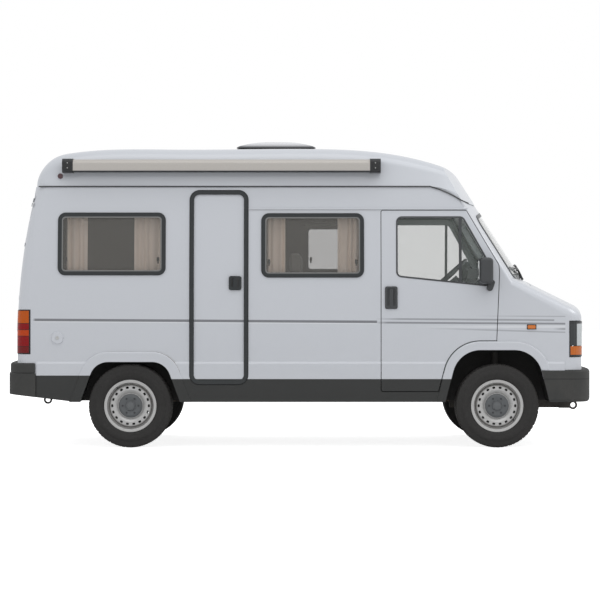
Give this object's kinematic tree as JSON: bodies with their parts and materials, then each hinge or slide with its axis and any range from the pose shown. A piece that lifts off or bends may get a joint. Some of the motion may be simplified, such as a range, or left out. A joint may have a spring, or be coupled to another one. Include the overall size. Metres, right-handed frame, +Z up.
{
  "type": "camper van",
  "caption": "High-roof camper van with side entry door, roof-edge awning, twin rear doors and furnished living space.",
  "frame": {"origin": "on the ground, midway between the bumper faces and the two sides", "axes": "+X forward, +Y to the van's left, +Z up"},
  "size_m": [4.76, 2.3, 2.4999],
  "materials": {
    "paint": "satin",
    "roof_gelcoat": "gloss",
    "glass": "clear",
    "rubber": "matte",
    "dark_plastic": "grained",
    "lamp_clear": "gloss",
    "lamp_red": "gloss",
    "small_plastic": "satin",
    "anodised": "anodised",
    "dome_plastic": "satin",
    "seat_cloth": "woven",
    "curtain_cloth": "woven",
    "wood_board": "laminated",
    "underbody": "matte",
    "engine_iron": "cast",
    "exhaust_steel": "dull",
    "tyre": "matte",
    "wheel_steel": "satin"
  },
  "bodies": {
    "body": {"floor_pan": "underbody", "side_right": "paint", "side_left": "paint", "rear_frame": "paint", "high_roof": "roof_gelcoat", "cab_frame": "paint", "wings": "paint", "front_panel": "paint", "glazing": "glass", "window_frames": "rubber", "grille": "dark_plastic", "headlamps": "lamp_clear", "tail_lamps": "lamp_red", "body_fittings": "small_plastic", "front_bumper": "dark_plastic", "rear_bumper": "dark_plastic", "awning": "anodised", "hatch_frame": "dark_plastic", "dashboard": "dark_plastic", "cab_seats": "seat_cloth", "furniture": "wood_board", "living_cushions": "seat_cloth", "curtains": "curtain_cloth", "wipers": "rubber", "engine": "engine_iron", "front_subframe": "underbody", "rear_axle": "underbody", "exhaust": "exhaust_steel", "fuel_tank": "underbody"},
    "bonnet": {"bonnet": "paint"},
    "cab_door_right": {"cab_door_right": "paint", "cab_glass_right": "glass", "cab_door_fittings_right": "dark_plastic"},
    "cab_door_left": {"cab_door_left": "paint", "cab_glass_left": "glass", "cab_door_fittings_left": "dark_plastic"},
    "entry_door": {"entry_door": "paint", "entry_door_fittings": "rubber"},
    "rear_door_right": {"rear_door_right": "paint", "rear_glass_right": "glass"},
    "rear_door_left": {"rear_door_left": "paint", "rear_glass_left": "glass"},
    "roof_hatch": {"hatch_dome": "dome_plastic"},
    "steering_wheel": {"steering_wheel": "dark_plastic"},
    "knuckle_right": {"knuckle_right": "underbody"},
    "knuckle_left": {"knuckle_left": "underbody"},
    "wheel_front_right": {"tyre_front_right": "tyre", "rim_front_right": "wheel_steel"},
    "wheel_front_left": {"tyre_front_left": "tyre", "rim_front_left": "wheel_steel"},
    "wheel_rear_right": {"tyre_rear_right": "tyre", "rim_rear_right": "wheel_steel"},
    "wheel_rear_left": {"tyre_rear_left": "tyre", "rim_rear_left": "wheel_steel"}
  },
  "joints": [
    {"name": "bonnet_hinge", "type": "hinge", "parent": "body", "child": "bonnet", "pos_m": [1.859, 0, 1.343], "axis": [0, -1, 0], "range_deg": [0, 60]},
    {"name": "cab_door_right_hinge", "type": "hinge", "parent": "body", "child": "cab_door_right", "pos_m": [1.604, -0.988, 0.452], "axis": [0, 0.0305, 0.9995], "range_deg": [0, 70]},
    {"name": "cab_door_left_hinge", "type": "hinge", "parent": "body", "child": "cab_door_left", "pos_m": [1.604, 0.988, 0.452], "axis": [0, 0.0305, -0.9995], "range_deg": [0, 70]},
    {"name": "entry_door_hinge", "type": "hinge", "parent": "body", "child": "entry_door", "pos_m": [-0.882, -0.996, 0.508], "axis": [0, -0.0524, -0.9986], "range_deg": [0, 95]},
    {"name": "rear_door_right_hinge", "type": "hinge", "parent": "body", "child": "rear_door_right", "pos_m": [-2.3, -0.867, 0.69], "axis": [0.0984, 0, 0.9951], "range_deg": [0, 180]},
    {"name": "rear_door_left_hinge", "type": "hinge", "parent": "body", "child": "rear_door_left", "pos_m": [-2.3, 0.867, 0.69], "axis": [-0.0984, 0, -0.9951], "range_deg": [0, 180]},
    {"name": "roof_hatch_hinge", "type": "hinge", "parent": "body", "child": "roof_hatch", "pos_m": [-0.527, 0, 2.431], "axis": [0, -1, 0], "range_deg": [0, 55]},
    {"name": "steer_left", "type": "hinge", "parent": "body", "child": "knuckle_left", "pos_m": [1.575, 0.77, 0.205], "axis": [0, -0.1657, 0.9862], "range_deg": [-32, 32]},
    {"name": "steer_right", "type": "hinge", "parent": "body", "child": "knuckle_right", "pos_m": [1.575, -0.77, 0.205], "axis": [0, 0.1657, 0.9862], "range_deg": [-32, 32]},
    {"name": "steering_wheel_turn", "type": "hinge", "parent": "body", "child": "steering_wheel", "pos_m": [1.279, 0.43, 1.395], "axis": [-0.6691, 0, 0.7431], "range_deg": [-450, 450]},
    {"name": "wheel_front_right_spin", "type": "hinge", "parent": "knuckle_right", "child": "wheel_front_right", "pos_m": [1.575, -0.862, 0.334], "axis": [0, 1, 0], "continuous": true},
    {"name": "wheel_rear_right_spin", "type": "hinge", "parent": "body", "child": "wheel_rear_right", "pos_m": [-1.349, -0.862, 0.334], "axis": [0, 1, 0], "continuous": true},
    {"name": "wheel_front_left_spin", "type": "hinge", "parent": "knuckle_left", "child": "wheel_front_left", "pos_m": [1.575, 0.862, 0.334], "axis": [0, 1, 0], "continuous": true},
    {"name": "wheel_rear_left_spin", "type": "hinge", "parent": "body", "child": "wheel_rear_left", "pos_m": [-1.349, 0.862, 0.334], "axis": [0, 1, 0], "continuous": true}
  ],
  "couplings": [
    {"joint": "steer_right", "follows": "steer_left", "ratio": 1},
    {"joint": "steering_wheel_turn", "follows": "steer_left", "ratio": 14}
  ]
}
